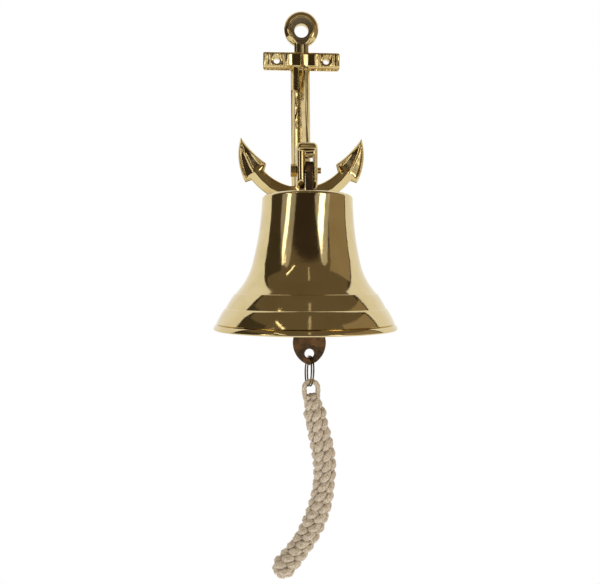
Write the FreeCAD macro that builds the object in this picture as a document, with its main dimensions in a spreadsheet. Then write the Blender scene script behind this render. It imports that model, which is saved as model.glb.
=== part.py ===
import FreeCAD, Part
import math
import os

import Sketcher

# Ship bell on an anchor-shaped wall bracket, all sizes in millimetres.
# X runs to the right along the stock, Y runs into the wall and Z runs up.
# The wall is the plane Y = 0 and the origin lies midway between the two stock screws.

DIMENSIONS = {
    # the anchor plate that lies against the wall
    "plate_thick": 7.0,
    "shank_thick": 5.0,
    "shank_width": 18.2,
    "shank_lean": 1.1,
    "shank_bottom": -124.0,
    "stock_length": 73.6,
    "stock_height": 15.6,
    "screw_spacing": 47.6,
    "screw_hole_dia": 6.0,
    "screw_countersink": 0.9,
    "ring_height": 31.0,
    "ring_outer_dia": 33.0,
    "ring_hole_dia": 13.4,
    "ring_hole_height": 29.2,
    "neck_width": 13.5,
    # the arm that reaches out from the shank to the fork
    "arm_thick": 4.6,
    "bell_offset": 87.0,
    "pivot_height": -120.0,
    "fork_width": 17.8,
    "fork_depth": 16.0,
    "fork_top": -97.7,
    "fork_bottom": -135.4,
    "slot_width": 7.0,
    "slot_top": -108.0,
    "slot_middle": 2.0,
    # the bolt that the bell swings on
    "bolt_dia": 5.0,
    "bolt_hex_flats": 9.2,
    "bolt_head_height": 4.4,
    "bolt_tip": 2.8,
    # the bell and the hanger through its crown
    "crown_top": -141.5,
    "crown_thick": 5.2,
    "rim_radius": 76.0,
    "hanger_offset": 2.2,
    "tongue_thick": 5.8,
    "tongue_depth": 14.8,
    "tongue_bore": 5.14,
    "collar_dia": 18.0,
    "collar_height": 3.0,
    "stem_dia": 8.0,
    "washer_dia": 18.0,
    "washer_thick": 1.5,
    "nut_flats": 13.0,
    "nut_height": 6.5,
    "blade_thick": 4.0,
    # the clapper and its pin
    "clapper_pivot": -161.0,
    "clapper_pin_dia": 4.0,
    "clapper_pin_bore": 4.14,
    "clapper_fork_width": 11.0,
    "clapper_fork_gap": 4.6,
    "clapper_fork_depth": 11.0,
    "clapper_stem_dia": 8.0,
    "paddle_thick": 4.0,
    "paddle_width": 26.6,
    "paddle_wide_from": -238.0,
    "paddle_wide_to": -259.0,
    "paddle_tip": -281.8,
    "lanyard_hole_height": -272.1,
    "lanyard_hole_dia": 8.0,
    # the split ring
    "split_ring_dia": 26.0,
    "split_ring_wire": 1.4,
    "split_ring_width": 2.8,
    "split_ring_hang": 14.7,
    "split_ring_turn": 12.0,
    "split_ring_lean": 3.0,
}

# The lanyard's eye is a bight of cord, and its braided rope hangs from the eye.
LANYARD_Y = -87.0
EYE_CORD_RADIUS = 2.25
EYE_CENTRE_X = 3.7
EYE_BEND_RADIUS = 5.7
EYE_BEND_HEIGHT = -301.5
ROPE_RADIUS = 9.5
ROPE_ROUTE = [
    (4.0, -305.8),
    (5.8, -318.0),
    (11.2, -342.0),
    (15.3, -362.0),
    (14.7, -382.0),
    (11.0, -402.0),
    (2.0, -423.5),
    (-10.0, -441.0),
    (-24.8, -456.8),
]

Vector = FreeCAD.Vector
document = FreeCAD.newDocument("ship_bell")


# ---------------------------------------------------------------- spreadsheet
sheet = document.addObject("Spreadsheet::Sheet", "Dimensions")
for row, (alias, value) in enumerate(DIMENSIONS.items(), start=1):
    sheet.set(f"A{row}", alias)
    sheet.set(f"B{row}", str(value))
    sheet.setAlias(f"B{row}", alias)
document.recompute()


def dimension(alias):
    """The present value of a driving dimension."""
    return float(sheet.get(alias))


def formula(expression):
    """An expression in the sheet's aliases, with the sheet's name put before each."""
    words = expression.replace("(", "( ").replace(")", " )").split()
    return " ".join(f"Dimensions.{word}" if word in DIMENSIONS else word for word in words)


# ------------------------------------------------------------- solid helpers
def bind(item, **expressions):
    """Drives properties of an object from the sheet. A double underscore stands for a dot."""
    for name, expression in expressions.items():
        item.setExpression(name.replace("__", "."), formula(str(expression)))


def place(item, x="0", y="0", z="0"):
    bind(item, Placement__Base__x=x, Placement__Base__y=y, Placement__Base__z=z)


def turn(item, axis, degrees):
    item.Placement.Rotation = FreeCAD.Rotation(axis, degrees)


def box(name, length, width, height, x, y, z):
    """A block with its centre at x and y, and its lower face at z."""
    block = document.addObject("Part::Box", name)
    bind(block, Length=length, Width=width, Height=height)
    place(block, f"{x} - ( {length} ) / 2", f"{y} - ( {width} ) / 2", z)
    return block


def cylinder(name, diameter, height, x="0", y="0", z="0", along=None):
    """A round bar that starts at x, y, z and runs up, or along the X or Y axis."""
    bar = document.addObject("Part::Cylinder", name)
    bind(bar, Radius=f"( {diameter} ) / 2", Height=height)
    if along == "X":
        turn(bar, Vector(0, 1, 0), 90)
    if along == "Y":
        turn(bar, Vector(1, 0, 0), -90)
    place(bar, x, y, z)
    return bar


def hexagon(name, flats, height, x="0", y="0", z="0", along=None):
    """A six-sided prism, measured over its flats."""
    prism = document.addObject("Part::Prism", name)
    prism.Polygon = 6
    bind(prism, Circumradius=f"( {flats} ) / 2 / cos(30)", Height=height)
    if along == "X":
        turn(prism, Vector(0, 1, 0), 90)
    place(prism, x, y, z)
    return prism


def union(name, solids):
    whole = document.addObject("Part::MultiFuse", name)
    whole.Shapes = solids
    whole.Refine = True
    return whole


def cut(name, base, tool):
    left = document.addObject("Part::Cut", name)
    left.Base = base
    left.Tool = tool
    left.Refine = True
    return left


# ------------------------------------------------------------ sketch helpers
def new_body(name):
    body = document.addObject("PartDesign::Body", name)
    body.Label = name
    return body


def new_sketch(body, name, plane, offset=None):
    """A sketch on one of the body's own origin planes, moved along its normal."""
    sketch = body.newObject("Sketcher::SketchObject", name)
    origin_plane = next(item for item in body.Origin.OriginFeatures if item.Role == plane)
    sketch.AttachmentSupport = [(origin_plane, "")]
    sketch.MapMode = "FlatFace"
    if offset is not None:
        bind(sketch, AttachmentOffset__Base__z=offset)
    return sketch


def add_circle(sketch, across, up, diameter):
    """A circle whose centre and diameter follow the sheet."""
    circle = sketch.addGeometry(Part.Circle(Vector(0, 0, 0), Vector(0, 0, 1), 1))
    for kind, centre in (("DistanceX", across), ("DistanceY", up)):
        index = sketch.addConstraint(Sketcher.Constraint(kind, -1, 1, circle, 3, 1.0))
        sketch.setExpression(f"Constraints[{index}]", formula(centre))
    index = sketch.addConstraint(Sketcher.Constraint("Diameter", circle, 2.0))
    sketch.setExpression(f"Constraints[{index}]", formula(diameter))


def add_polygon(sketch, corners):
    """A closed polygon whose corners, given as pairs of expressions, follow the sheet."""
    count = len(corners)
    for number in range(count):
        angle = 2 * math.pi * number / count
        after = 2 * math.pi * (number + 1) / count
        start = Vector(math.cos(angle), math.sin(angle), 0)
        end = Vector(math.cos(after), math.sin(after), 0)
        sketch.addGeometry(Part.LineSegment(start, end))
    first = sketch.GeometryCount - count
    for number in range(count):
        follower = first + (number + 1) % count
        sketch.addConstraint(Sketcher.Constraint("Coincident", first + number, 2, follower, 1))
    for number, corner in enumerate(corners):
        for kind, expression in zip(("DistanceX", "DistanceY"), corner):
            line = first + number
            index = sketch.addConstraint(Sketcher.Constraint(kind, -1, 1, line, 1, 1.0))
            sketch.setExpression(f"Constraints[{index}]", formula(expression))


def add_outline(sketch, start, strokes):
    """A closed outline from lines (one point) and arcs (a point on the way and an end)."""
    here = Vector(*start, 0)
    for stroke in strokes:
        end = Vector(*stroke[-1], 0)
        if len(stroke) == 2:
            sketch.addGeometry(Part.Arc(here, Vector(*stroke[0], 0), end))
        else:
            sketch.addGeometry(Part.LineSegment(here, end))
        here = end


def pad(body, name, sketch, length, midplane=False, reverse=False):
    feature = body.newObject("PartDesign::Pad", name)
    feature.Profile = sketch
    feature.Midplane = midplane
    feature.Reversed = reverse
    bind(feature, Length=length)
    return feature


def pocket(body, name, sketch, length=None, reverse=False):
    """A pocket of a given depth, or right through, that must take material away."""
    document.recompute()
    before = body.Shape.Volume
    feature = body.newObject("PartDesign::Pocket", name)
    feature.Profile = sketch
    feature.Reversed = reverse
    if length is None:
        feature.Type = "ThroughAll"
    else:
        bind(feature, Length=length)
    document.recompute()
    if body.Shape.Volume > before - 0.1:
        raise ValueError(f"{name} takes nothing away")
    return feature


def edges_where(shape, test):
    """The names of the edges whose middle and bounding box pass a test."""
    names = []
    for number, edge in enumerate(shape.Edges, start=1):
        if test(edge, edge.BoundBox):
            names.append(f"Edge{number}")
    return names


def dress(body, kind, name, size, test):
    """A fillet or a chamfer on the edges of the body's tip that pass a test."""
    document.recompute()
    tip = body.Tip
    names = edges_where(tip.Shape, test)
    if not names:
        raise ValueError(f"{name} finds no edge")
    feature = body.newObject(f"PartDesign::{kind}", name)
    feature.Base = (tip, names)
    if kind == "Fillet":
        bind(feature, Radius=size)
    else:
        bind(feature, Size=size)
    return feature


# ------------------------------------------------------------ anchor bracket
# Outline of one arm and its fluke, from the middle of the crown round to the middle again.
ARM_UPPER_MIDDLE = (0, -121.2)
ARM_UPPER_END = (35.8, -105.8)
INNER_BARB = (34.0, -98.6)
FLUKE_TIP = (58.2, -74.1)
OUTER_BARB = (54.1, -116.2)
ARM_LOWER_END = (47.8, -114.0)
ARM_LOWER_MIDDLE = (0, -137.0)


def add_arms(sketch):
    """Both arms and flukes as one outline, the left half mirrored from the right."""
    right = [
        [(18.4, -117.6), ARM_UPPER_END],
        [INNER_BARB],
        [(45.6, -89.0), FLUKE_TIP],
        [(60.4, -94.6), OUTER_BARB],
        [ARM_LOWER_END],
        [(25.0, -131.7), ARM_LOWER_MIDDLE],
    ]
    points = [ARM_UPPER_MIDDLE] + [stroke[-1] for stroke in right]
    left = []
    for number in range(len(right) - 1, -1, -1):
        stroke = [(-x, z) for x, z in right[number][:-1]]
        stroke.append((-points[number][0], points[number][1]))
        left.append(stroke)
    add_outline(sketch, ARM_UPPER_MIDDLE, right + left)


def make_plate(body):
    """The flat anchor: arms with flukes, shank, stock, neck and top ring."""
    arms = new_sketch(body, "arms_outline", "XZ_Plane")
    add_arms(arms)
    pad(body, "arms", arms, "plate_thick")

    shank = new_sketch(body, "shank_outline", "XZ_Plane")
    half = "shank_width / 2"
    corners = [
        (f"0 - {half}", "shank_bottom"),
        (half, "shank_bottom"),
        (f"{half} - shank_lean", "0"),
        (f"0 - {half} - shank_lean", "0"),
    ]
    add_polygon(shank, corners)
    pad(body, "shank", shank, "shank_thick")

    stock = new_sketch(body, "stock_outline", "XZ_Plane")
    side, top = "stock_length / 2", "stock_height / 2"
    corners = [
        (f"0 - {side}", f"0 - {top}"),
        (side, f"0 - {top}"),
        (side, top),
        (f"0 - {side}", top),
    ]
    add_polygon(stock, corners)
    pad(body, "stock", stock, "plate_thick")

    def stock_corner(edge, bounds):
        at_end = abs(abs(bounds.XMin) - dimension("stock_length") / 2) < 0.01
        return at_end and bounds.XLength < 0.01 and bounds.ZLength < 0.01

    dress(body, "Fillet", "stock_corners", "1.8", stock_corner)

    neck = new_sketch(body, "neck_outline", "XZ_Plane")
    half = "neck_width / 2"
    corners = [
        (f"0 - {half}", "0"),
        (half, "0"),
        (half, "ring_height - 10"),
        (f"0 - {half}", "ring_height - 10"),
    ]
    add_polygon(neck, corners)
    pad(body, "neck", neck, "plate_thick")

    ring = new_sketch(body, "top_ring_outline", "XZ_Plane")
    add_circle(ring, "0", "ring_height", "ring_outer_dia")
    pad(body, "top_ring", ring, "plate_thick")


def fork_outer_edge(edge, bounds):
    """True for the edges round the outer faces of the fork's two ears."""
    half = dimension("fork_width") / 2
    on_side = abs(abs(bounds.XMin) - half) < 0.01 and bounds.XLength < 0.01
    return on_side and bounds.YMax < -60


def make_arm_and_fork(body):
    """The sloping arm, a web of even thickness, and the fork at its outer end."""
    arm = new_sketch(body, "arm_outline", "YZ_Plane")
    corners = [
        ("0 - 2", "0 - 8"),
        ("0 - 7", "0 - 8"),
        ("0 - bell_offset + 4", "fork_top + 1"),
        ("0 - bell_offset + 4", "pivot_height"),
        ("0 - bell_offset + fork_depth / 2", "pivot_height - 1"),
        ("0 - 2", "pivot_height + 40"),
    ]
    add_polygon(arm, corners)
    pad(body, "arm", arm, "arm_thick", midplane=True)

    fork = new_sketch(body, "fork_outline", "YZ_Plane")
    front = -dimension("bell_offset") - dimension("fork_depth") / 2
    back = front + dimension("fork_depth")
    middle = (front + back) / 2
    top = dimension("fork_top")
    bottom = dimension("fork_bottom")
    round_from = bottom + dimension("fork_depth") / 2
    strokes = [
        [(front, round_from)],
        [(middle, bottom), (back, round_from)],
        [(back, top)],
        [(front, top)],
    ]
    add_outline(fork, (front, top), strokes)
    pad(body, "fork", fork, "fork_width", midplane=True)

    dress(body, "Fillet", "fork_edges", "3.2", fork_outer_edge)

    slot = new_sketch(body, "slot_outline", "YZ_Plane", "slot_middle + slot_width / 2")
    corners = [
        ("0 - bell_offset - 20", "fork_bottom - 5"),
        ("0 - bell_offset + fork_depth / 2 + 0.01", "fork_bottom - 5"),
        ("0 - bell_offset + fork_depth / 2 + 0.01", "slot_top"),
        ("0 - bell_offset - 20", "slot_top"),
    ]
    add_polygon(slot, corners)
    pocket(body, "slot", slot, "slot_width")

    bore = new_sketch(body, "pivot_bore_outline", "YZ_Plane", "20")
    add_circle(bore, "0 - bell_offset", "pivot_height", "bolt_dia")
    pocket(body, "pivot_bore", bore, "40")


def make_holes(body):
    """Two countersunk screw holes in the stock and the eye in the top ring."""
    for side, sign in (("left", "0 - "), ("right", "")):
        hole = new_sketch(body, f"{side}_screw_outline", "XZ_Plane")
        add_circle(hole, f"{sign}screw_spacing / 2", "0", "screw_hole_dia")
        pocket(body, f"{side}_screw_hole", hole, reverse=True)
    eye = new_sketch(body, "ring_hole_outline", "XZ_Plane")
    add_circle(eye, "0", "ring_hole_height", "ring_hole_dia")
    pocket(body, "ring_hole", eye, reverse=True)

    front = -dimension("plate_thick")

    def screw_mouth(edge, bounds):
        at_front = abs(bounds.YMin - front) < 0.01 and bounds.YLength < 0.01
        return at_front and abs(bounds.XLength - dimension("screw_hole_dia")) < 0.01

    def ring_edge(edge, bounds):
        at_front = abs(bounds.YMin - front) < 0.01 and bounds.YLength < 0.01
        return at_front and bounds.ZMin > dimension("ring_height") - 19 and bounds.XLength > 12

    dress(body, "Chamfer", "screw_countersinks", "screw_countersink", screw_mouth)
    dress(body, "Chamfer", "ring_bevel", "1.5", ring_edge)


def make_anchor_bracket():
    body = new_body("anchor_bracket")
    make_plate(body)
    make_arm_and_fork(body)
    make_holes(body)
    return body


# ---------------------------------------------------------------- pivot bolt
def make_pivot_bolt():
    """A hexagon-head bolt that goes through one ear and screws into the other."""
    left_face = "0 - fork_width / 2"
    head = hexagon(
        "bolt_head", "bolt_hex_flats", "bolt_head_height",
        f"{left_face} - bolt_head_height", "0 - bell_offset", "pivot_height", along="X",
    )
    shaft = cylinder(
        "bolt_shaft", "bolt_dia", "fork_width + bolt_tip",
        left_face, "0 - bell_offset", "pivot_height", along="X",
    )
    bolt = union("pivot_bolt", [head, shaft])
    bolt.Label = "pivot_bolt"
    return bolt


# ---------------------------------------------------------------------- bell
# Half section of the bell: radius from its axis, and height.
def make_bell():
    """The turned bell: flat crown, waist, flared lip with two steps and a fine groove."""
    body = new_body("bell")
    section = new_sketch(body, "bell_section", "XZ_Plane")
    top = dimension("crown_top")
    rim = dimension("rim_radius")
    under = top - dimension("crown_thick")
    outer = [
        [(34.6, top)],
        [(36.8, top - 0.9), (37.6, top - 3.0)],
        [(40.0, -172.4), (45.3, -199.0)],
        [(49.3, -209.1), (56.7, -220.0)],
        [(58.6, -222.2)],
        [(59.2, -222.7)],
        [(63.1, -228.1), (66.2, -233.8)],
        [(67.3, -234.8)],
        [(70.9, -240.4), (73.6, -246.2)],
        [(73.2, -246.7)],
        [(74.3, -247.2)],
        [(75.4, -249.0), (rim, -250.8)],
        [(rim - 0.3, -252.0), (rim - 1.4, -252.6)],
    ]
    inner = [
        [(72.6, -252.6)],
        [(64.0, -239.5), (54.0, -225.0)],
        [(42.2, -205.0), (37.0, -177.0)],
        [(34.6, under - 3.6)],
        [(33.4, under - 1.1), (30.8, under)],
        [(0, under)],
        [(0, top)],
    ]
    add_outline(section, (0, top), outer + inner)
    turning = body.newObject("PartDesign::Revolution", "bell_turning")
    turning.Profile = section
    turning.ReferenceAxis = (section, ["V_Axis"])
    turning.Angle = 360.0

    hole = new_sketch(body, "crown_hole_outline", "XY_Plane", "crown_top + 5")
    add_circle(hole, "hanger_offset", "0", "stem_dia + 0.2")
    pocket(body, "crown_hole", hole, "20")
    place(body, "0", "0 - bell_offset", "0")
    return body


# --------------------------------------------------------------- bell hanger
def make_bell_hanger():
    """The tongue that swings in the fork, its collar, and the stem through the crown."""
    x, y = "hanger_offset", "0 - bell_offset"
    rise = "pivot_height - crown_top"
    tongue = box("tongue_plate", "tongue_thick", "tongue_depth", rise, x, y, "crown_top")
    top = cylinder(
        "tongue_top", "tongue_depth", "tongue_thick",
        f"{x} - tongue_thick / 2", y, "pivot_height", along="X",
    )
    collar = cylinder("collar", "collar_dia", "collar_height", x, y, "crown_top")
    stem_length = "crown_thick + washer_thick + nut_height + 0.3"
    stem = cylinder("stem", "stem_dia", f"{stem_length} + 1", x, y, f"crown_top - ( {stem_length} )")
    blade_height = f"crown_top - ( {stem_length} ) - clapper_pivot + 3.8"
    blade = box("blade_plate", "7.4", "blade_thick", blade_height, x, y, "clapper_pivot - 3.8")
    solid = union("hanger_solid", [tongue, top, collar, stem, blade])
    bore = cylinder(
        "tongue_bore_tool", "tongue_bore", "tongue_thick + 2",
        f"{x} - tongue_thick / 2 - 1", y, "pivot_height", along="X",
    )
    pin_bore = cylinder(
        "blade_bore_tool", "clapper_pin_bore", "blade_thick + 2",
        x, f"{y} - blade_thick / 2 - 1", "clapper_pivot", along="Y",
    )
    hanger = cut("bell_hanger", solid, union("hanger_bores", [bore, pin_bore]))
    hanger.Label = "bell_hanger"
    return hanger


def make_washer_and_nut():
    """The plain washer and the hexagon nut that hold the hanger from inside the crown."""
    x, y = "hanger_offset", "0 - bell_offset"
    under = "crown_top - crown_thick"
    disc = cylinder("washer_disc", "washer_dia", "washer_thick", x, y, f"{under} - washer_thick")
    hole = cylinder("washer_hole", "stem_dia + 0.4", "washer_thick + 2", x, y, f"{under} - washer_thick - 1")
    washer = cut("hanger_washer", disc, hole)
    washer.Label = "hanger_washer"
    seat = f"{under} - washer_thick - nut_height"
    prism = hexagon("nut_prism", "nut_flats", "nut_height", x, y, seat)
    thread = cylinder("nut_thread", "stem_dia", "nut_height + 2", x, y, f"{seat} - 1")
    nut = cut("hanger_nut", prism, thread)
    nut.Label = "hanger_nut"
    return washer, nut


# ------------------------------------------------------------------- clapper
def make_clapper():
    """One flat casting: a forked top, a round stem, and a paddle with the lanyard hole."""
    body = new_body("clapper")
    half = dimension("paddle_width") / 2
    wide_from = dimension("paddle_wide_from")
    wide_to = dimension("paddle_wide_to")
    tip = dimension("paddle_tip")
    waist = wide_from + 14
    paddle = new_sketch(body, "paddle_outline", "XZ_Plane")
    strokes = [
        [(half * 0.42, waist - 6), (half, wide_from)],
        [(half, wide_to)],
        [(half * 0.83, wide_to - 14.2), (0, tip)],
        [(-half * 0.83, wide_to - 14.2), (-half, wide_to)],
        [(-half, wide_from)],
        [(-half * 0.42, waist - 6), (-3.6, waist)],
        [(3.6, waist)],
    ]
    add_outline(paddle, (3.6, waist), strokes)
    pad(body, "paddle", paddle, "paddle_thick", midplane=True)

    stem = new_sketch(body, "clapper_stem_outline", "XY_Plane", "paddle_wide_from - 1")
    add_circle(stem, "0", "0", "clapper_stem_dia")
    pad(body, "clapper_stem", stem, "clapper_pivot - 9 - paddle_wide_from + 1")

    fork = new_sketch(body, "clapper_fork_outline", "XZ_Plane")
    side = dimension("clapper_fork_width") / 2
    pivot = dimension("clapper_pivot")
    strokes = [
        [(0, pivot + side), (-side, pivot)],
        [(-side, pivot - 9)],
        [(-3.0, pivot - 13)],
        [(3.0, pivot - 13)],
        [(side, pivot - 9)],
        [(side, pivot)],
    ]
    add_outline(fork, (side, pivot), strokes)
    pad(body, "clapper_fork", fork, "clapper_fork_depth", midplane=True)

    gap = new_sketch(body, "clapper_gap_outline", "XZ_Plane", "clapper_fork_gap / 2")
    corners = [
        ("0 - 10", "clapper_pivot - 5.6"),
        ("10", "clapper_pivot - 5.6"),
        ("10", "clapper_pivot + 10"),
        ("0 - 10", "clapper_pivot + 10"),
    ]
    add_polygon(gap, corners)
    pocket(body, "clapper_gap", gap, "clapper_fork_gap")

    holes = new_sketch(body, "clapper_holes_outline", "XZ_Plane", "20")
    add_circle(holes, "0", "clapper_pivot", "clapper_pin_dia")
    add_circle(holes, "0", "lanyard_hole_height", "lanyard_hole_dia")
    pocket(body, "clapper_holes", holes, "40")
    place(body, "hanger_offset", "0 - bell_offset", "0")
    return body


def make_clapper_pin():
    """The rivet through the clapper's fork and the hanger's blade."""
    length = "clapper_fork_depth + 0.8"
    start = "0 - bell_offset - ( clapper_fork_depth + 0.8 ) / 2"
    pin = cylinder("clapper_pin", "clapper_pin_dia", length, "hanger_offset", start, "clapper_pivot", along="Y")
    pin.Label = "clapper_pin"
    return pin


# ---------------------------------------------------------------- split ring
def make_split_ring():
    """The split ring, two turns of flat wire side by side, as one plain ring."""
    body = new_body("split_ring")
    outline = new_sketch(body, "split_ring_outline", "YZ_Plane")
    add_circle(outline, "0", "0", "split_ring_dia")
    add_circle(outline, "0", "0", "split_ring_dia - 2 * split_ring_wire")
    pad(body, "split_ring_wires", outline, "split_ring_width", midplane=True)
    dress(body, "Fillet", "split_ring_edges", "0.45", lambda edge, bounds: bounds.XLength < 0.01)
    spin = FreeCAD.Rotation(Vector(0, 0, 1), dimension("split_ring_turn"))
    lean = FreeCAD.Rotation(Vector(0, 1, 0), -dimension("split_ring_lean"))
    body.Placement.Rotation = lean.multiply(spin)
    place(
        body,
        "hanger_offset + split_ring_hang * sin(split_ring_lean)",
        "0 - bell_offset",
        "lanyard_hole_height - split_ring_hang * cos(split_ring_lean)",
    )
    return body


# ------------------------------------------------------------------- lanyard
def smooth_route(points):
    """Straight runs joined by tangent arcs, and the list of the arcs' radii."""
    corners = [Vector(x, LANYARD_Y, z) for x, z in points]
    pieces = []
    radii = []
    here = corners[0]
    for before, corner, after in zip(corners, corners[1:], corners[2:]):
        backward = (before - corner).normalize()
        forward = (after - corner).normalize()
        half_turn = (math.pi - backward.getAngle(forward)) / 2
        reach = 0.45 * min((before - corner).Length, (after - corner).Length)
        radius = reach / math.tan(half_turn)
        start = corner + backward * reach
        end = corner + forward * reach
        centre_way = (backward + forward).normalize()
        centre = corner + centre_way * (radius / math.cos(half_turn))
        middle = centre - centre_way * radius
        pieces.append(Part.LineSegment(here, start).toShape())
        pieces.append(Part.Arc(start, middle, end).toShape())
        radii.append(radius)
        here = end
    pieces.append(Part.LineSegment(here, corners[-1]).toShape())
    return Part.Wire(pieces), radii


def tube(label, wire, radius):
    """A round cord along a wire, checked against its section times its length."""
    start = wire.Edges[0].valueAt(wire.Edges[0].FirstParameter)
    along = wire.Edges[0].tangentAt(wire.Edges[0].FirstParameter)
    section = Part.Wire([Part.Circle(start, along, radius).toShape()])
    solid = wire.makePipeShell([section], True, False)
    cord = document.addObject("Part::Feature", label)
    cord.Label = label
    cord.Shape = solid
    expected = math.pi * radius**2 * wire.Length
    print(label, "length", round(wire.Length, 1), "volume", round(solid.Volume), "expected", round(expected))
    return cord


def make_lanyard():
    """The eye of plain cord that the split ring goes through, and the braided rope."""
    left = EYE_CENTRE_X - EYE_BEND_RADIUS
    right = EYE_CENTRE_X + EYE_BEND_RADIUS
    foot = ROPE_ROUTE[0][1]
    (top_x, top_z), (next_x, next_z) = ROPE_ROUTE[:2]
    lift = EYE_BEND_RADIUS * (next_x - top_x) / (top_z - next_z)
    bend_top = Vector(EYE_CENTRE_X, LANYARD_Y, EYE_BEND_HEIGHT + EYE_BEND_RADIUS)
    left_bend = Vector(left, LANYARD_Y, EYE_BEND_HEIGHT)
    right_bend = Vector(right, LANYARD_Y, EYE_BEND_HEIGHT)
    left_foot = Vector(left, LANYARD_Y, foot - lift)
    right_foot = Vector(right, LANYARD_Y, foot + lift)
    eye_wire = Part.Wire([
        Part.LineSegment(left_foot, left_bend).toShape(),
        Part.Arc(left_bend, bend_top, right_bend).toShape(),
        Part.LineSegment(right_bend, right_foot).toShape(),
    ])
    eye = tube("lanyard_eye", eye_wire, EYE_CORD_RADIUS)
    rope_wire, radii = smooth_route(ROPE_ROUTE)
    print("lanyard radii", [round(radius, 1) for radius in radii])
    rope = tube("lanyard_rope", rope_wire, ROPE_RADIUS)
    return eye, rope


# -------------------------------------------------------------- build and save
sub_parts = [
    make_anchor_bracket(),
    make_pivot_bolt(),
    make_bell(),
    make_bell_hanger(),
    *make_washer_and_nut(),
    make_clapper(),
    make_clapper_pin(),
    make_split_ring(),
    *make_lanyard(),
]
document.recompute()

for item in document.Objects:
    if "Invalid" in item.State or "Error" in item.State:
        raise ValueError(f"{item.Name} is in the state {item.State}")

os.makedirs("parts", exist_ok=True)
for sub_part in sub_parts:
    shape = sub_part.Shape
    if shape.isNull() or not shape.isValid():
        raise ValueError(f"{sub_part.Label} has no valid shape")
    bounds = shape.BoundBox
    print(
        f"{sub_part.Label}: {len(shape.Solids)} solid, "
        f"{bounds.XLength:.1f} x {bounds.YLength:.1f} x {bounds.ZLength:.1f}"
    )
    shape.exportStep(f"parts/{sub_part.Label}.step")
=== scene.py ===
import math

import bmesh
import bpy
import numpy as np
from mathutils import Matrix, Vector, noise


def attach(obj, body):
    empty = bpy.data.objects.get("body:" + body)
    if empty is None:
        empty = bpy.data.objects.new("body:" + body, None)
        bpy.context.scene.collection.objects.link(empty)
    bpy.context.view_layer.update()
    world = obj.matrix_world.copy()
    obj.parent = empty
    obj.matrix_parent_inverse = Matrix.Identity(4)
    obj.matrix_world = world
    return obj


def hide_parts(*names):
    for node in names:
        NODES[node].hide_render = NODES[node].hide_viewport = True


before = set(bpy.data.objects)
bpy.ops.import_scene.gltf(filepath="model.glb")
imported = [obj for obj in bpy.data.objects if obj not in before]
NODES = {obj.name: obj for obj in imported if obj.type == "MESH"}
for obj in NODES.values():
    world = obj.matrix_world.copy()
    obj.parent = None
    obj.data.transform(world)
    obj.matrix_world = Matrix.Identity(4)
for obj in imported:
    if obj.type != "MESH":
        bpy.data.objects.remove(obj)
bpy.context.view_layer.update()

MM = 0.001

# ---------------------------------------------------------------- camera
CAMERA_PLACE = (-0.0311, -0.5815, -0.2118)
CAMERA_PITCH = -0.0182
CAMERA_YAW = -0.0516
CAMERA_LENS = 35.71

# ---------------------------------------------------------------- lanyard
# The middle of the braid, from its top down to its free end, in metres.
ROPE_ROUTE = [
    (0.0040, -0.087, -0.3058),
    (0.0058, -0.087, -0.3180),
    (0.0112, -0.087, -0.3420),
    (0.0153, -0.087, -0.3620),
    (0.0147, -0.087, -0.3820),
    (0.0110, -0.087, -0.4020),
    (0.0020, -0.087, -0.4235),
    (-0.0100, -0.087, -0.4410),
    (-0.0248, -0.087, -0.4568),
]
STRANDS = 6
STRAND_RADIUS = 2.9
# The height of one layer of crossings, and how many turns the columns drift round for each mm.
CROWN_PITCH = 8.6
COLUMN_DRIFT = 0.0035

# ---------------------------------------------------------------- bell and bracket
BELL_AXIS_Y = -87.0
# How far the bell leans to the right for each mm of height, and the height at which it doesn't shift.
BELL_LEAN = 0.0165
BELL_LEAN_HEIGHT = -184.0
LATHE_STEPS = 256
RING_CENTRE = (2.3, -87.0, -286.78)
RING_RADIUS = 12.35
RING_WIRE = 0.66
RING_SPLAY = 0.95
RING_TURN = math.radians(8)
RING_LEAN = math.radians(3)


# ---------------------------------------------------------------- helpers
def new_object(name, data):
    """An object linked to the scene."""
    obj = bpy.data.objects.new(name, data)
    bpy.context.scene.collection.objects.link(obj)
    return obj


def mesh_object(name, points, faces, smooth=True):
    """A mesh object from points in millimetres."""
    mesh = bpy.data.meshes.new(name)
    mesh.from_pydata([tuple(c * MM for c in p) for p in points], [], faces)
    mesh.update()
    if smooth:
        mesh.shade_smooth()
    return new_object(name, mesh)


def arc_points(start, middle, end, count):
    """Points along the arc through three points of a plane, without its start."""
    (ax, ay), (bx, by), (cx, cy) = start, middle, end
    d = 2 * (ax * (by - cy) + bx * (cy - ay) + cx * (ay - by))
    sa, sb, sc = ax * ax + ay * ay, bx * bx + by * by, cx * cx + cy * cy
    ux = (sa * (by - cy) + sb * (cy - ay) + sc * (ay - by)) / d
    uy = (sa * (cx - bx) + sb * (ax - cx) + sc * (bx - ax)) / d
    radius = math.hypot(ax - ux, ay - uy)
    first = math.atan2(ay - uy, ax - ux)
    through = (math.atan2(by - uy, bx - ux) - first) % math.tau
    total = (math.atan2(cy - uy, cx - ux) - first) % math.tau
    if through > total:
        total -= math.tau
    points = []
    for step in range(1, count + 1):
        angle = first + total * step / count
        points.append((ux + radius * math.cos(angle), uy + radius * math.sin(angle)))
    return points


def outline_points(start, strokes, count=10):
    """Points along an outline of lines (one point) and three-point arcs (two points)."""
    points = [start]
    for stroke in strokes:
        if len(stroke) == 1:
            points.append(stroke[0])
        else:
            points.extend(arc_points(points[-1], stroke[0], stroke[1], count))
    return points


def smooth_step(low, high, value):
    """From 0 at low to 1 at high with soft ends; low may be the larger of the two."""
    t = np.clip((value - low) / (high - low), 0, 1)
    return t * t * (3 - 2 * t)


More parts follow.
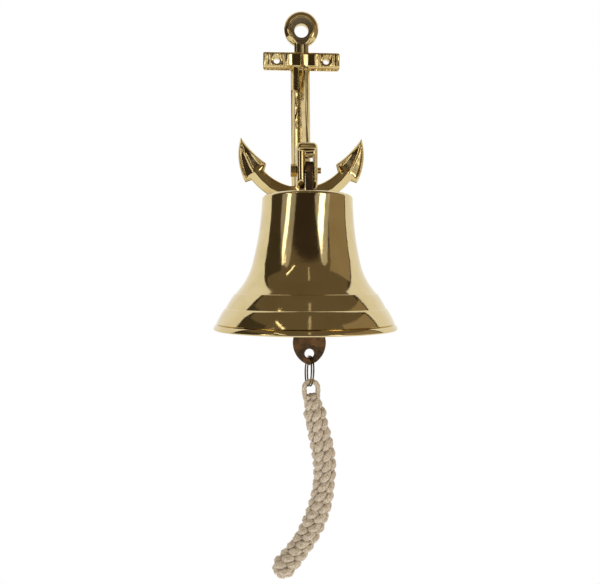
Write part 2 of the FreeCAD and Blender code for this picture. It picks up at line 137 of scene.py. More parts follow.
def distance_to(points, x, z):
    """Distance of each (x, z) from a run of straight pieces."""
    best = np.full(x.shape, 1e9)
    for (ax, az), (bx, bz) in zip(points, points[1:]):
        dx, dz = bx - ax, bz - az
        t = np.clip(((x - ax) * dx + (z - az) * dz) / (dx * dx + dz * dz), 0, 1)
        best = np.minimum(best, np.hypot(x - ax - t * dx, z - az - t * dz))
    return best


def inside(points, x, z):
    """True for each (x, z) inside a closed outline."""
    found = np.zeros(x.shape, bool)
    for (ax, az), (bx, bz) in zip(points, points[1:] + points[:1]):
        crosses = (az > z) != (bz > z)
        with np.errstate(divide="ignore", invalid="ignore"):
            at = (bx - ax) * (z - az) / (bz - az) + ax
        found ^= crosses & (x < at)
    return found


def finished(obj, body, material, replaced=None):
    """Gives a piece its material, its body and the CAD node that it stands for."""
    obj.data.materials.clear()
    obj.data.materials.append(material)
    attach(obj, body)
    if replaced:
        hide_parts(replaced)
    return obj


def cast_copy(node, name, voxel):
    """A fine, even mesh of a CAD node, as a new object to work on."""
    mesh = NODES[node].data.copy()
    mesh.name = name
    work = bmesh.new()
    work.from_mesh(mesh)
    bmesh.ops.remove_doubles(work, verts=work.verts, dist=1e-6)
    work.to_mesh(mesh)
    work.free()
    obj = new_object(name, mesh)
    remesh = obj.modifiers.new("remesh", "REMESH")
    remesh.mode = "VOXEL"
    remesh.voxel_size = voxel * MM
    apply_modifiers(obj)
    return obj


def apply_modifiers(obj):
    """Replaces a piece's mesh by what its modifiers make of it."""
    depsgraph = bpy.context.evaluated_depsgraph_get()
    mesh = bpy.data.meshes.new_from_object(obj.evaluated_get(depsgraph))
    obj.modifiers.clear()
    obj.data = mesh


def points_of(obj):
    """The piece's points in millimetres, as rows."""
    flat = np.empty(len(obj.data.vertices) * 3)
    obj.data.vertices.foreach_get("co", flat)
    return flat.reshape(-1, 3) / MM


def normals_of(obj):
    flat = np.empty(len(obj.data.vertices) * 3)
    obj.data.vertices.foreach_get("normal", flat)
    return flat.reshape(-1, 3)


def set_points(obj, points):
    obj.data.vertices.foreach_set("co", (points * MM).ravel())
    obj.data.update()


def smooth(obj, factor, times):
    modifier = obj.modifiers.new("smooth", "SMOOTH")
    modifier.factor = factor
    modifier.iterations = times
    apply_modifiers(obj)
    obj.data.shade_smooth()


def noise_at(points, size, seed):
    """Smooth noise from -1 to 1 at points in millimetres, with lumps about size across."""
    shift = Vector((seed * 17.3, seed * 5.1, seed * 9.7))
    return np.array([noise.noise(Vector(p) / size + shift) for p in points])


# ---------------------------------------------------------------- materials
def node_material(name):
    material = bpy.data.materials.new(name)
    material.use_nodes = True
    return material, material.node_tree.nodes, material.node_tree.links


def noise_node(nodes, links, scale, detail=2.0, stretch=(1, 1, 1)):
    """Noise on the piece's own coordinates, stretched along an axis where that is wanted."""
    place = nodes.new("ShaderNodeTexCoord")
    mapping = nodes.new("ShaderNodeMapping")
    mapping.inputs["Scale"].default_value = stretch
    texture = nodes.new("ShaderNodeTexNoise")
    texture.inputs["Scale"].default_value = scale
    texture.inputs["Detail"].default_value = detail
    links.new(place.outputs["Object"], mapping.inputs["Vector"])
    links.new(mapping.outputs["Vector"], texture.inputs["Vector"])
    return texture.outputs["Fac"]


def ramp(nodes, links, source, low, high, first, last):
    """A colour that runs from first to last as source goes from low to high."""
    node = nodes.new("ShaderNodeValToRGB")
    node.color_ramp.elements[0].position = low
    node.color_ramp.elements[1].position = high
    node.color_ramp.elements[0].color = (*first, 1)
    node.color_ramp.elements[1].color = (*last, 1)
    links.new(source, node.inputs["Fac"])
    return node.outputs["Color"]


def spread(nodes, links, source, low, high, first, last):
    """A number that runs from first to last as source goes from low to high."""
    node = nodes.new("ShaderNodeMapRange")
    for key, value in (("From Min", low), ("From Max", high), ("To Min", first), ("To Max", last)):
        node.inputs[key].default_value = value
    links.new(source, node.inputs["Value"])
    return node.outputs["Result"]


def bump(nodes, links, source, depth, strength, below=None):
    """A bump of depth metres, on top of another bump if one is given."""
    node = nodes.new("ShaderNodeBump")
    node.inputs["Distance"].default_value = depth
    node.inputs["Strength"].default_value = strength
    links.new(source, node.inputs["Height"])
    if below is not None:
        links.new(below, node.inputs["Normal"])
    return node.outputs["Normal"]


def brass(name, clean, stained, rough, lumps, scratches=0.00002, stretch=(1, 1, 1)):
    """Polished metal with stains, soft lumps and fine scratches, duller and darker where it is marked as
    raw casting, and a little darker where that mark paints in a dark reflection.
    """
    material, nodes, links = node_material(name)
    shader = nodes["Principled BSDF"]
    shader.inputs["Metallic"].default_value = 1.0
    raw_and_reflection = mark_node(nodes, "raw_and_reflection")
    stains = noise_node(nodes, links, 55, 5)
    colour = ramp(nodes, links, stains, 0.42, 0.72, clean, stained)
    # Where marked, the colour goes towards a dull dark brown: raw casting in the ring's dish, and a little
    # painted dark reflection on the shank's flat panel.
    links.new(blended(nodes, links, raw_and_reflection, colour, (0.27, 0.21, 0.125)), shader.inputs["Base Color"])
    gloss = spread(nodes, links, noise_node(nodes, links, 90, 3), 0.3, 0.75, rough[0], rough[1])
    duller = nodes.new("ShaderNodeMath")
    duller.operation = "MULTIPLY_ADD"
    duller.inputs[1].default_value = 0.35
    links.new(raw_and_reflection, duller.inputs[0])
    links.new(gloss, duller.inputs[2])
    links.new(duller.outputs["Value"], shader.inputs["Roughness"])
    wide = bump(nodes, links, noise_node(nodes, links, 120, 2), lumps, 0.5)
    fine = noise_node(nodes, links, 900, 3, stretch)
    links.new(bump(nodes, links, fine, scratches, 0.35, wide), shader.inputs["Normal"])
    return material


def rough_cast(name):
    """Brass left as cast and gone brown, with orange patches and pits; on the bell's hanger this dark brown
    also paints the shade that it sits in.
    """
    material, nodes, links = node_material(name)
    shader = nodes["Principled BSDF"]
    shader.inputs["Metallic"].default_value = 0.85
    patches = noise_node(nodes, links, 110, 4)
    colour = ramp(nodes, links, patches, 0.45, 0.68, (0.075, 0.047, 0.024), (0.22, 0.115, 0.045))
    links.new(colour, shader.inputs["Base Color"])
    gloss = noise_node(nodes, links, 260, 3)
    links.new(spread(nodes, links, gloss, 0.3, 0.7, 0.34, 0.58), shader.inputs["Roughness"])
    lumps = bump(nodes, links, noise_node(nodes, links, 320, 3), 0.0003, 0.7)
    grain = noise_node(nodes, links, 1500, 4)
    links.new(bump(nodes, links, grain, 0.00012, 0.6, lumps), shader.inputs["Normal"])
    return material


def mark_node(nodes, name):
    """The number that a piece keeps for each of its points under this name."""
    node = nodes.new("ShaderNodeAttribute")
    node.attribute_name = name
    return node.outputs["Fac"]


def blended(nodes, links, share, first, second):
    """A colour that goes from the colour first to the plain colour second by a share."""
    node = nodes.new("ShaderNodeMix")
    node.data_type = "RGBA"
    links.new(share, node.inputs["Factor"])
    links.new(first, node.inputs[6])
    node.inputs[7].default_value = (*second, 1)
    return node.outputs[2]


def cotton(name):
    """Undyed cotton yarn: a soft, fuzzy thread with fine fibres, and painted shade that darkens the gaps
    where cords cross.
    """
    material, nodes, links = node_material(name)
    shader = nodes["Principled BSDF"]
    shader.inputs["Roughness"].default_value = 0.92
    shader.inputs["Sheen Weight"].default_value = 0.25
    shader.inputs["Sheen Roughness"].default_value = 0.5
    shader.inputs["Sheen Tint"].default_value = (1.0, 0.93, 0.82, 1)
    shade = noise_node(nodes, links, 1000, 4)
    colour = ramp(nodes, links, shade, 0.30, 0.66, (0.44, 0.33, 0.21), (0.93, 0.81, 0.64))
    # Painted shade: the yarn's colour is mixed towards a near-black brown in the gaps between the strands,
    # where shade falls.
    gaps = spread(nodes, links, mark_node(nodes, "gap_shade"), 0.0, 1.0, 0.0, 0.95)
    links.new(blended(nodes, links, gaps, colour, (0.09, 0.055, 0.025)), shader.inputs["Base Color"])
    tufts = bump(nodes, links, noise_node(nodes, links, 900, 3), 0.0007, 0.8)
    fibres = noise_node(nodes, links, 2600, 4)
    links.new(bump(nodes, links, fibres, 0.0002, 0.7, tufts), shader.inputs["Normal"])
    return material


def glowing(name, level, tint=(1, 1, 1)):
    """A plain studio surface of an even brightness."""
    material, nodes, links = node_material(name)
    nodes.remove(nodes["Principled BSDF"])
    glow = nodes.new("ShaderNodeEmission")
    glow.inputs["Color"].default_value = (*tint, 1)
    glow.inputs["Strength"].default_value = level
    links.new(glow.outputs["Emission"], nodes["Material Output"].inputs["Surface"])
    return material


# ---------------------------------------------------------------- tubes
def frames_along(points):
    """For each point of a line, its direction and two directions across it that don't twist."""
    directions = []
    for number in range(len(points)):
        before = points[max(0, number - 1)]
        after = points[min(len(points) - 1, number + 1)]
        directions.append((after - before).normalized())
    across = directions[0].cross(Vector((0, 1, 0))).normalized()
    frames = []
    for direction in directions:
        across = (across - direction * across.dot(direction)).normalized()
        frames.append((direction, across, direction.cross(across)))
    return frames


def tube_mesh(line, radius_at, sides=14):
    """Points and faces of a closed tube round a line, with radius_at(step, angle) in millimetres."""
    points, faces = [], []
    for step, (centre, (_, across, up)) in enumerate(zip(line, frames_along(line))):
        for side in range(sides):
            angle = math.tau * side / sides
            radius = radius_at(step, angle)
            points.append(centre + (across * math.cos(angle) + up * math.sin(angle)) * radius)
    for step in range(len(line) - 1):
        low, high = step * sides, (step + 1) * sides
        for side in range(sides):
            turned = (side + 1) % sides
            faces.append((low + side, low + turned, high + turned, high + side))
    faces.append(tuple(reversed(range(sides))))
    faces.append(tuple(range((len(line) - 1) * sides, len(line) * sides)))
    return points, faces


def join_meshes(parts):
    """One list of points and faces from several."""
    points, faces = [], []
    for more_points, more_faces in parts:
        shift = len(points)
        points.extend(more_points)
        faces.extend(tuple(index + shift for index in face) for face in more_faces)
    return points, faces


# ---------------------------------------------------------------- scene parts
def make_camera():
    data = bpy.data.cameras.new("camera")
    camera = new_object("camera", data)
    bpy.context.scene.camera = camera
    data.lens = CAMERA_LENS
    data.sensor_width = 36.0
    data.clip_start = 0.01
    camera.location = CAMERA_PLACE
    camera.rotation_euler = (math.radians(90) + CAMERA_PITCH, 0, CAMERA_YAW)


def rope_line():
    """The braid's middle line in millimetres, read from a spline with the route as its control points."""
    curve = bpy.data.curves.new("rope_line", "CURVE")
    curve.dimensions = "3D"
    spline = curve.splines.new("NURBS")
    spline.points.add(len(ROPE_ROUTE) - 1)
    for point, place in zip(spline.points, ROPE_ROUTE):
        point.co = (*place, 1)
    spline.order_u = 3
    spline.use_endpoint_u = True
    spline.resolution_u = 24
    obj = new_object("rope_line", curve)
    depsgraph = bpy.context.evaluated_depsgraph_get()
    mesh = bpy.data.meshes.new_from_object(obj.evaluated_get(depsgraph))
    line = [vertex.co / MM for vertex in mesh.vertices]
    bpy.data.objects.remove(obj)
    return line


class Line:
    """A measured line: the point and the directions at any distance along it."""

    def __init__(self, points):
        self.points = points
        self.frames = frames_along(points)
        self.along = [0.0]
        for first, second in zip(points, points[1:]):
            self.along.append(self.along[-1] + (second - first).length)
        self.length = self.along[-1]

    def at(self, distance):
        """Position, direction and the two directions across, also a little past either end."""
        number = int(np.searchsorted(self.along, distance)) - 1
        number = min(max(number, 0), len(self.points) - 2)
        gap = self.along[number + 1] - self.along[number]
        part = (distance - self.along[number]) / gap
        place = self.points[number].lerp(self.points[number + 1], part)
        inner = min(max(part, 0), 1)
        pairs = zip(self.frames[number], self.frames[number + 1])
        return place, *(a.lerp(b, inner).normalized() for a, b in pairs)


def dome(distance, depth):
    """From 0 at the very end of the braid to 1 a depth further in, as a rounded end."""
    short = 1 - min(1.0, max(0.0, distance / depth))
    return math.sqrt(1 - short * short)


def braid_width(distance, length):
    """The braid's width along its length, from 0 to 1: a slim neck at the top and a rounded end."""
    neck = 0.55 * dome(distance, 4.0) + 0.45 * float(smooth_step(5.0, 17.0, distance))
    return min(neck, dome(length - distance, 8.5))


def mark_gap_shade(obj, line):
    """Marks painted shade for each point by how deep it lies between the strands, from 0 on their backs to
    1 in the gaps.
    """
    points = points_of(obj)
    centres = np.array([list(place) for place in line.points])
    along = np.array(line.along)
    depth = np.empty(len(points))
    for first in range(0, len(points), 4000):
        block = points[first:first + 4000]
        apart = np.linalg.norm(block[:, None] - centres[None], axis=2)
        nearest = apart.argmin(axis=1)
        wide = np.array([braid_width(d, line.length) for d in along[nearest]])
        limit = 9.3 * np.clip(0.35 + 0.65 * wide, 0.35, 1)
        before_end = smooth_step(2.0, 7.0, line.length - along[nearest])
        depth[first:first + 4000] = smooth_step(0.90, 0.72, apart.min(axis=1) / limit) * before_end
    # The depth between the strands is kept as painted shade for the cotton to darken.
    mark(obj, "gap_shade", depth)


def mark(obj, name, values):
    """Keeps one number for each point of a piece, for its material to use."""
    attribute = obj.data.attributes.new(name, "FLOAT", "POINT")
    attribute.data.foreach_set("value", np.asarray(values, np.float32))


def make_braid(material):
    """A round crown sennit: six cotton cords that each pass on one place in every layer."""
    points = rope_line()
    line = Line(points)
    steps_per_layer = 18
    layers = line.length / CROWN_PITCH
    steps = int(layers * steps_per_layer)
    parts = []
    for strand in range(STRANDS):
        path, swell = [], []
        for step in range(steps + 1):
            turn = step / steps_per_layer
            wave = math.sin(math.tau * turn) / math.tau
            distance = min(line.length, CROWN_PITCH * (turn + 0.25 * wave))
            end = braid_width(distance, line.length)
            angle = math.tau / STRANDS * (strand + turn - 0.1 * wave) + COLUMN_DRIFT * math.tau * distance
            bulge = math.cos(math.tau * turn)
            out = (5.95 + 1.05 * bulge) * (0.12 + 0.88 * end)
            place, _, across, up = line.at(min(max(distance, 2.4), line.length - 2.6))
            path.append(place + (across * math.cos(angle) + up * math.sin(angle)) * out)
            swell.append(STRAND_RADIUS * (1 + 0.06 * bulge) * (0.72 + 0.28 * end))

        def radius_at(step, angle, swell=swell):
            return swell[step] + 0.17 * math.cos(5 * (angle - step * 0.22))

        parts.append(tube_mesh(path, radius_at, sides=28))
    core = [line.at(3.0 + (line.length - 6.5) * part / 60)[0] for part in range(61)]

    def core_radius(step, angle):
        return 4.6 * (0.55 + 0.45 * dome(min(step, 60 - step), 4))

    parts.append(tube_mesh(core, core_radius, sides=16))
    points, faces = join_meshes(parts)
    braid = mesh_object("lanyard_braid", points, faces)
    mark_gap_shade(braid, line)
    finished(braid, "lanyard", material, "lanyard_rope")
    return braid, [point * MM for point in line.points]


def make_eye(material):
    """The lanyard's eye: one cord up, over the ring and down again, with both legs laid along the braid."""
    middle, bend, cord_radius = 3.7, 5.7, 2.05
    bend_height, leg_end = -301.1, -318.0
    left, right = [], []
    for step in range(15):
        part = step / 14
        height = bend_height + (leg_end - bend_height) * part
        forward = BELL_AXIS_Y - 2.0 * part * part
        left.append(Vector((middle - bend + 5.0 * part ** 2.2, forward, height)))
        right.append(Vector((middle + bend - 2.2 * part ** 2.2, forward, height)))
    over = []
    for step in range(1, 24):
        angle = math.pi - math.pi * step / 24
        x, height = middle + bend * math.cos(angle), bend_height + bend * math.sin(angle)
        over.append(Vector((x, BELL_AXIS_Y, height)))

    def radius_at(step, angle):
        return cord_radius + 0.14 * math.cos(4 * (angle - step * 0.4))

    points, faces = tube_mesh(left[::-1] + over + right, radius_at, sides=28)
    eye = mesh_object("lanyard_loop", points, faces)
    return finished(eye, "lanyard", material, "lanyard_eye")


def make_split_ring(material):
    """Two turns of round wire side by side, crossing over in one place."""
    turns, steps, crossing = 2, 220, math.radians(55)
    centre = Vector(RING_CENTRE)
    turned = Matrix.Rotation(RING_TURN, 3, "Z") @ Matrix.Rotation(RING_LEAN, 3, "Y")
    path = []
    for step in range(steps + 1):
        angle = turns * math.tau * step / steps
        side = (angle - math.tau) / crossing
        offset = RING_SPLAY * max(-1.0, min(1.0, side))
        around = angle + math.radians(70)
        place = Vector((offset, math.cos(around) * RING_RADIUS, math.sin(around) * RING_RADIUS))
        path.append(centre + turned @ place)
    points, faces = tube_mesh(path, lambda step, angle: RING_WIRE, sides=16)
    ring = mesh_object("split_ring_wire", points, faces)
    return finished(ring, "ring", material, "split_ring")


CROWN_TOP = -141.5
CROWN_UNDER = -146.7
CROWN_HOLE = 4.0
# The bell's section as radius and height: the crown, the outside, the lip and the inside.
BELL_SECTION = [
    [(34.6, CROWN_TOP)],
    [(36.8, -142.4), (37.6, -144.5)],
    [(40.0, -172.4), (45.3, -199.0)],
    [(49.3, -209.1), (56.7, -220.0)],
    [(58.3, -221.9)],
    [(59.2, -222.2)],
    [(63.1, -228.1), (66.2, -233.8)],
    [(67.3, -234.6)],
    [(70.9, -240.4), (73.6, -246.2)],
    [(73.0, -246.8)],
    [(74.3, -247.2)],
    [(75.4, -248.9), (76.0, -250.3)],
    [(75.8, -251.2), (75.0, -251.5)],
    [(72.6, -251.5)],
    [(64.0, -239.5), (54.0, -225.0)],
    [(42.2, -205.0), (37.0, -177.0)],
    [(34.6, -150.3)],
    [(33.4, -147.8), (30.8, CROWN_UNDER)],
    [(CROWN_HOLE, CROWN_UNDER)],
]


def bell_profile():
    """The bell's section, from the hole in the crown outwards, down and back up inside."""
    points = outline_points((CROWN_HOLE, CROWN_TOP), BELL_SECTION, 26)
    longest_edge = 1.6
    even = [points[0]]
    for point in points[1:] + points[:1]:
        gap = math.dist(even[-1], point)
        pieces = max(1, int(gap / longest_edge))
        start = even[-1]
        for piece in range(1, pieces + 1):
            part = piece / pieces
            even.append(tuple(a + (b - a) * part for a, b in zip(start, point)))
    return even[:-1]


def make_bell(material):
    """The bell turned from its section, with the slight lean that it hangs at."""
    section = bell_profile()
    points, faces = [], []
    for step in range(LATHE_STEPS):
        angle = math.tau * step / LATHE_STEPS
        for radius, height in section:
            lean = (height - BELL_LEAN_HEIGHT) * BELL_LEAN
            points.append((radius * math.cos(angle) + lean, BELL_AXIS_Y + radius * math.sin(angle), height))
    count = len(section)
    for step in range(LATHE_STEPS):
        here, there = step * count, (step + 1) % LATHE_STEPS * count
        for number in range(count):
            following = (number + 1) % count
            faces.append((here + number, here + following, there + following, there + number))
    bell = mesh_object("bell_shell", points, faces)
    bell.data.set_sharp_from_angle(angle=math.radians(24))
    return finished(bell, "bell", material, "bell")


# ---------------------------------------------------------------- anchor relief
# Heights here are distances from the wall, and places are those of the CAD part.
PLATE_THICK = 7.0
SHANK_THICK = 5.0
STOCK_HALF_LENGTH = 36.8
STOCK_HALF_HEIGHT = 7.8
SCREW_X = 23.8
PANEL_BOTTOM = -28.0
RING_HEIGHT = 31.0
RING_OUTER = 16.5
BEAD_RADIUS = 11.9
WEB_TOP = -8.0
WEB_SLOPE = 0.857
# The fork's slot from side to side, and the middle and half width of each ear.
SLOT_LEFT, SLOT_RIGHT = -1.5, 5.5
LEFT_EAR = (-5.2, 3.7)
RIGHT_EAR = (7.2, 1.7)
# The right arm's outline and lines as x and z; the left arm mirrors them.
ARM_OUTLINE = [
    [(18.4, -117.6), (35.8, -105.8)],
    [(34.0, -98.6)],
    [(45.6, -89.0), (58.2, -74.1)],
    [(60.4, -94.6), (54.1, -116.2)],
    [(47.8, -114.0)],
    [(25.0, -131.7), (0.0, -137.0)],
]
ARM_RIDGE = [(0.0, -131.0), (15.0, -129.0), (29.6, -122.5), (38.5, -114.5), (44.6, -107.0)]
FLUKE_RIB = [(44.6, -107.0), (48.3, -100.6), (54.2, -87.7), (58.2, -74.1)]


def rounded(distance, width, depth):
    """How far an edge has fallen away at a distance in from it: depth at the edge, nothing past width."""
    share = np.clip(distance / width, 0, 1)
    return depth * (1 - np.sin(share * math.pi / 2))


def arm_height(x, z):
    """Arms with two facets that meet in a ridge, and flukes with a rib, an outer hollow and a rim."""
    across = np.abs(x)
    outline = outline_points((0.0, -121.2), ARM_OUTLINE)
    to_edge = distance_to(outline, across, z)
    to_ridge = distance_to(ARM_RIDGE, across, z)
    arm = PLATE_THICK - 2.9 * to_ridge / (to_ridge + to_edge + 0.01) - rounded(to_edge, 1.2, 1.2)
    to_rib = distance_to(FLUKE_RIB, across, z)
    rib_x, rib_z = zip(*FLUKE_RIB)
    outer_side = across > np.interp(z, rib_z, rib_x)
    outer = np.interp(to_rib, [0.0, 2.2, 3.6, 10.0], [7.1, 5.9, 5.7, 4.6])
    inner = np.minimum(PLATE_THICK, 5.6 + 0.2 * (z + 95.0)) - 0.15 * to_rib
    rim = 6.3 - 1.1 * np.clip(to_edge - 2.0, 0, 3)
    fluke = np.maximum(np.where(outer_side, outer, inner), rim) - rounded(to_edge, 2.2, 2.4)
    past_arm = across * 0.62 + z * 0.78 + 53.6
    height = arm + (fluke - arm) * smooth_step(-2.5, 1.5, past_arm)
    return np.where(inside(outline, across, z) | (to_edge < 0.4), height, 0.0)


def stock_height(x, z):
    """A bar with rounded edges and upright hammered facets round its two screw holes."""
    to_edge = np.minimum(STOCK_HALF_LENGTH - np.abs(x), STOCK_HALF_HEIGHT - np.abs(z))
    wave = np.arcsin(np.sin(np.abs(x) * 1.9 + 0.35 * np.sin(z * 0.5))) / (math.pi / 2)
    facets = 0.36 * wave + 0.10 * np.sin(x * 3.3 + 1.0)
    near_holes = smooth_step(11.5, 14.0, np.abs(x))
    middle = 1.1 * np.exp(-((np.abs(x) - 7.5) / 4.4) ** 2)
    lower = 0.95 * np.clip(-z - 4.9, 0, 3)
    height = PLATE_THICK + 0.08 * z + facets * near_holes - middle - lower - rounded(to_edge, 1.5, 1.4)
    from_hole = np.hypot(np.abs(x) - SCREW_X, z)
    height = height - 0.55 * np.clip(5.2 - from_hole, 0, 2.2)
    return np.where(to_edge >= -0.4, height, 0.0)


def neck_height(x, z):
    """The short rounded neck between the stock and the ring."""
    to_edge = 6.9 - np.abs(x)
    height = 6.3 - rounded(to_edge, 3.5, 2.0)
    return np.where((z > 6) & (z < 19), height, 0.0)


def drop_distance(x, z):
    """Distance from the ring's centre, stretched below it so that a circle becomes a hanging drop."""
    below = np.clip(RING_HEIGHT - z, 0, 30)
    return np.hypot(x * (1 + 0.035 * below), (z - RING_HEIGHT) * np.where(z < RING_HEIGHT, 0.69, 1.0))


def ring_height(x, z):
    """The top ring: sloping outside, with a fine bead in the shape of a drop round a shallow dish."""
    radius = np.hypot(x, z - RING_HEIGHT)
    body = 6.9 - rounded(RING_OUTER - radius, 4.2, 3.2)
    drop = drop_distance(x, z)
    bead = 1.2 * np.exp(-((drop - BEAD_RADIUS) / 0.9) ** 2)
    dish = 1.0 * smooth_step(BEAD_RADIUS, BEAD_RADIUS - 1.0, drop)
    dish = dish + 0.10 * np.clip(BEAD_RADIUS - 1 - drop, 0, 5)
    return np.where(radius < RING_OUTER + 0.5, body + bead - dish, 0.0)


def shank_height(x, z):
    """The shank: sloping faces, steep sides, and on the left a flat panel over an uneven cast skin."""
    across = np.abs(x)
    left = 6.3 - 0.46 * np.clip(across - 2.2, 0, 4.0)
    right = 6.3 - 0.33 * np.clip(across - 3.2, 0, 3.0)
    on_panel = (x < 0) & (z > PANEL_BOTTOM)
    face = np.where(x < 0, np.where(on_panel, 4.6, left), right)
    steep = 1.35 * np.clip(across - np.where(on_panel, 7.4, 6.2), 0, 4)
    swirl = 0.40 * np.sin(x * 1.1 + 1.2 * np.sin(z * 0.30)) * np.cos(z * 0.26 + 0.4)
    swirl = swirl * smooth_step(6.0, 4.8, across) * (x < 0)
    swirl = swirl * smooth_step(PANEL_BOTTOM, -31, z) * smooth_step(-66, -58, z)
    return np.where((across < 10.4) & (z < 0), np.clip(face - steep + swirl, 0.2, None), 0.0)


def raw_and_reflection_share(x, z):
    """Where the casting is duller and darker: fully in the ring's dish, and a little on the shank's flat
    panel, where the darker colour is a painted dark reflection.
    """
    dish = smooth_step(BEAD_RADIUS - 0.4, BEAD_RADIUS - 1.2, drop_distance(x, z))
    # Painted reflection: the shank's flat panel is darkened a little, standing in for the dark room that it
    # reflects.
    panel = (x > -7.2) & (x < -0.4) & (z > PANEL_BOTTOM) & (z < -8.5)
    return np.where(z > 12, dish, 0.06 * panel)


def spine_height(x, z):
    """The fine ridge from the ring down over the stock to the top of the arm."""
    fall = np.abs(x - 0.6)
    return np.where((z > -10) & (z < 17.0), 8.8 - 1.6 * fall, 0.0)


def push_back(points, amount):
    """Moves points into the depth along the line of sight, so the outline in the picture keeps its size."""
    eye = np.array(CAMERA_PLACE) / MM
    away = (points - eye) / (points[:, 1] - eye[1])[:, None]
    return points + away * amount[:, None]


def make_bracket(material):
    """The cast anchor: the CAD shape with the relief that is on its front."""
    bracket = cast_copy("anchor_bracket", "anchor_casting", 0.36)
    points, facing = points_of(bracket), normals_of(bracket)
    x, y, z = points.T
    heights = [arm_height, stock_height, neck_height, ring_height, shank_height, spine_height]
    height = np.max([make(x, z) for make in heights], axis=0)
    at_front = (np.abs(y + PLATE_THICK) < 0.4) | (np.abs(y + SHANK_THICK) < 0.4)
    on_front = (facing[:, 1] < -0.6) & at_front
    on_front |= (facing[:, 1] < -0.3) & (y > -7.2) & (y < -5.3) & (z > 12)
    on_side = (y > -7.4) & ~on_front
    on_web = (np.abs(x) < 2.9) & (z < -7.0) & (z > -97.0)
    plate = ~on_web & (height > 0.1)
    move = np.where(on_front & plate, -height - y, 0.0)
    move = np.where(on_side & plate, np.clip(-height - y, 0, None), move)
    points = push_back(points, move)
    shape_web(points)
    shape_fork(points)
    set_points(bracket, points)
    smooth(bracket, 0.5, 4)
    points = points_of(bracket)
    uneven = 0.04 * noise_at(points, 6.0, 1)
    set_points(bracket, points + normals_of(bracket) * uneven[:, None])
    facing_front = smooth_step(-0.2, -0.6, normals_of(bracket)[:, 1])
    mark(bracket, "raw_and_reflection", raw_and_reflection_share(points[:, 0], points[:, 2]) * facing_front)
    bracket.data.shade_smooth()
    return finished(bracket, "bracket", material, "anchor_bracket")


def shape_web(points):
    """Bevels the left of the arm's front, to a ridge that runs from its right towards its middle."""
    x, y, z = points.T
    front = -PLATE_THICK + (z - WEB_TOP) * WEB_SLOPE
    ridge = 2.2 - 2.4 * np.clip(-(z - WEB_TOP) / 88.0, 0, 1)
    on_web = (np.abs(x) < 3.1) & (y < -7.2) & (z < -8.5) & (z > -96.0)
    bevel = 1.1 * np.clip(ridge - x, 0, None)
    points[:, 1] = np.where(on_web, np.minimum(np.maximum(y, front + bevel), -6.5), y)


def shape_fork(points):
    """Domes the fork's top, leaves a roll across it, and rounds the fronts of the two ears."""
    x, y, z = points.T
    share = np.clip((-y - 86.0) / 9.0, 0, 1) * ((z < -96.5) & (z > -136.5))
    dome_back = 5.5 * (1 - np.sqrt(np.clip(1 - np.clip((z + 102.6) / 5.2, 0, 1) ** 2, 0, 1)))
    roll = -0.5 * np.exp(-((z + 103.0) / 0.9) ** 2)
    below = smooth_step(-103.6, -105.2, z)
    left = 2.0 * np.clip(np.abs(x - LEFT_EAR[0]) / LEFT_EAR[1], 0, 1.05) ** 2.2 + 0.8
    right = 0.8 * np.clip(np.abs(x - RIGHT_EAR[0]) / RIGHT_EAR[1], 0, 1.1) ** 2 + 0.6
    between = np.interp(x, [SLOT_LEFT, SLOT_RIGHT], [2.8, 1.4])
    ears = np.where(x < SLOT_LEFT, left, np.where(x > SLOT_RIGHT, right, between)) * below
    side = 1.6 * np.clip(np.abs(x) - 5.5, 0, 4) ** 2 / 10 * (1 - below)
    points[:, 1] = y + (dome_back + roll + ears + side) * share
    on_top = (y < -80.0) & (z > -102.0) & (z < -96.0) & (np.abs(x) > 3.0)
    points[:, 0] = np.where(on_top, x * (1 - 0.16 * np.clip((z + 102.0) / 5.0, 0, 1) ** 2), x)


def make_cast_piece(node, name, body, material, voxel, roughness):
    """A rough casting: the CAD shape with soft edges and an uneven skin."""
    piece = cast_copy(node, name, voxel)
    smooth(piece, 0.5, 3)
    points = points_of(piece)
    uneven = roughness * (noise_at(points, 3.0, 2) + 0.5 * noise_at(points, 1.2, 3))
    set_points(piece, points + normals_of(piece) * uneven[:, None])
    piece.data.shade_smooth()
    return finished(piece, body, material, node)


# ---------------------------------------------------------------- studio
def card(name, centre, across, up, level, tint=(1, 1, 1), shown=False):
    """A flat studio surface: centre in metres, half extents as vectors."""
    c, a, u = Vector(centre), Vector(across), Vector(up)
    corners = [(c - a - u) / MM, (c + a - u) / MM, (c + a + u) / MM, (c - a + u) / MM]
    obj = mesh_object(name, corners, [(0, 1, 2, 3)], smooth=False)
    obj.data.materials.append(glowing(name, level, tint))
    obj.visible_camera = shown
    obj.visible_shadow = False
    return obj


LIGHT_ROLL = math.radians(38)


def soft_light(name, azimuth, elevation, distance, width, height, level, tint=(1, 1, 1)):
    """A rectangular soft light that faces the bell; azimuth is from the camera's side, to the right."""
    target = Vector((0, BELL_AXIS_Y * MM, -0.20))
    a, e = math.radians(azimuth), math.radians(elevation)
    away = Vector((math.sin(a) * math.cos(e), -math.cos(a) * math.cos(e), math.sin(e)))
    data = bpy.data.lights.new(name, "AREA")
    data.shape = "RECTANGLE"
    data.size, data.size_y = width, height
    data.energy = math.pi * width * height * level
    data.color = tint
    obj = new_object(name, data)
    obj.location = target + away * distance
    facing = away.to_track_quat("Z", "Y").to_matrix()
    obj.rotation_euler = (facing @ Matrix.Rotation(LIGHT_ROLL, 3, "Z")).to_euler()
    obj.visible_camera = False
    return obj


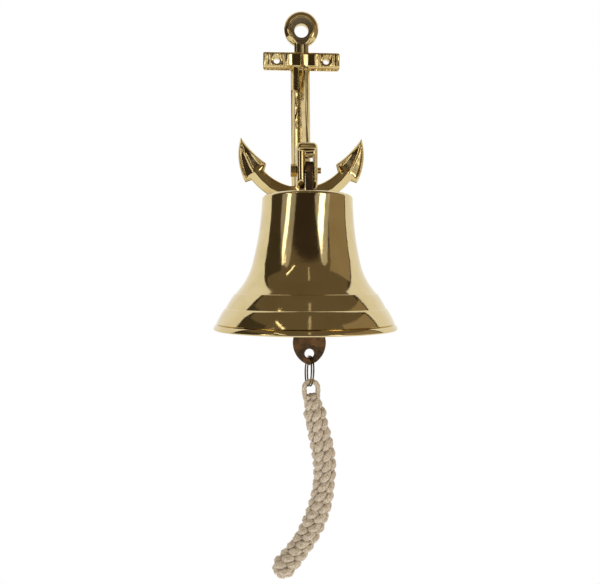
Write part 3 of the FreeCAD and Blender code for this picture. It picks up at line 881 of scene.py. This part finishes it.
def arc_wall(name, first, last, radius, low, high, level, tint=(1, 1, 1)):
    """A curved studio wall round the bell between two azimuths, in degrees and metres."""
    steps = 48
    points = []
    for step in range(steps + 1):
        a = math.radians(first + (last - first) * step / steps)
        x, y = math.sin(a) * radius, BELL_AXIS_Y * MM - math.cos(a) * radius
        points.extend([(x / MM, y / MM, low / MM), (x / MM, y / MM, high / MM)])
    faces = [(2 * n, 2 * n + 2, 2 * n + 3, 2 * n + 1) for n in range(steps)]
    wall = mesh_object(name, points, faces, smooth=False)
    wall.data.materials.append(glowing(name, level, tint))
    wall.visible_shadow = False
    return wall


def make_studio():
    scene = bpy.context.scene
    scene.view_settings.view_transform = "Standard"
    world = bpy.data.worlds.new("studio")
    scene.world = world
    world.use_nodes = True
    background = world.node_tree.nodes["Background"]
    background.inputs["Color"].default_value = (1.0, 0.72, 0.52, 1)
    background.inputs["Strength"].default_value = 0.045
    warm = (1, 0.78, 0.52)
    floor_level, top = -0.62, 7.0
    card("floor", (0, 0, floor_level), (4, 0, 0), (0, 4, 0), 1.0, shown=True)
    arc_wall("backdrop", 103, 257, 1.6, floor_level, top, 1.0)
    front = arc_wall("front_backdrop", -103, 103, 1.9, floor_level, top, 1.0)
    front.visible_glossy = False
    front.visible_diffuse = False
    right = arc_wall("right_wall", 50, 101, 2.8, floor_level, 2.0, 0.34, warm)
    right.visible_camera = False
    left = arc_wall("left_wall", -101, -60, 2.8, floor_level, 2.0, 0.065, warm)
    left.visible_camera = False
    card("ceiling", (0, -1.85, 2.0), (3.8, 0, 0), (0, 2.1, 0), 0.16, warm)
    for number, (x, level) in enumerate([(-3.3, 4.5), (-1.6, 3.5), (0.1, 0.7)]):
        card(f"ceiling_lamp_{number}", (x, -2.15, 1.97), (0.045, 0, 0), (0, 0.75, 0), level, (1, 0.9, 0.7))
    white = (1, 0.98, 0.94)
    lights = [("left", -50, 16, 0.16, 2.4), ("right", 34, 13, 0.24, 3.2)]
    for name, azimuth, elevation, width, level in lights:
        soft_light(f"{name}_light", azimuth, elevation, 1.4, width, 0.61, level, white)
        soft_light(f"{name}_halo", azimuth, elevation, 1.5, 0.75, 0.75, 0.14 * level, white)
    fill = soft_light("front_fill", -5, 10, 1.6, 1.4, 1.4, 0.75, white)
    fill.visible_glossy = False


def dress_cad_nodes(material):
    for name in ("pivot_bolt", "hanger_washer", "hanger_nut", "clapper_pin"):
        mesh = NODES[name].data
        mesh.materials.clear()
        mesh.materials.append(material)


make_camera()
cotton_yarn = cotton("cotton_yarn")
cast_brass = brass("cast_brass", (0.70, 0.555, 0.27), (0.55, 0.40, 0.16), (0.07, 0.20), 0.00018)
turned_brass = brass(
    "turned_brass", (0.68, 0.55, 0.29), (0.62, 0.49, 0.24), (0.05, 0.11), 0.00012, 0.00002, (0.3, 0.3, 5)
)
bolt_brass = brass("bolt_brass", (0.80, 0.58, 0.22), (0.50, 0.32, 0.11), (0.22, 0.42), 0.0002)
# Painted shade: the split ring's wire gets a near-black brown base, which paints in the dark reflections
# that the thin wire shows.
wire_brass_painted_dark = brass("wire_brass_painted_dark", (0.15, 0.10, 0.04), (0.10, 0.065, 0.025), (0.14, 0.28), 0.0001)
dull_brass_and_hanger_shade = rough_cast("dull_brass_and_hanger_shade")

braid, braid_line = make_braid(cotton_yarn)
loop = make_eye(cotton_yarn)
make_split_ring(wire_brass_painted_dark)
make_bell(turned_brass)
make_bracket(cast_brass)
make_cast_piece("clapper", "clapper_casting", "clapper", dull_brass_and_hanger_shade, 0.45, 0.10)
# Painted shade: the hanger takes the dark, dull casting colour, which paints in the shade that it sits in
# within the fork's slot.
make_cast_piece("bell_hanger", "hanger_casting", "bell", dull_brass_and_hanger_shade, 0.45, 0.08)
dress_cad_nodes(bolt_brass)
make_studio()
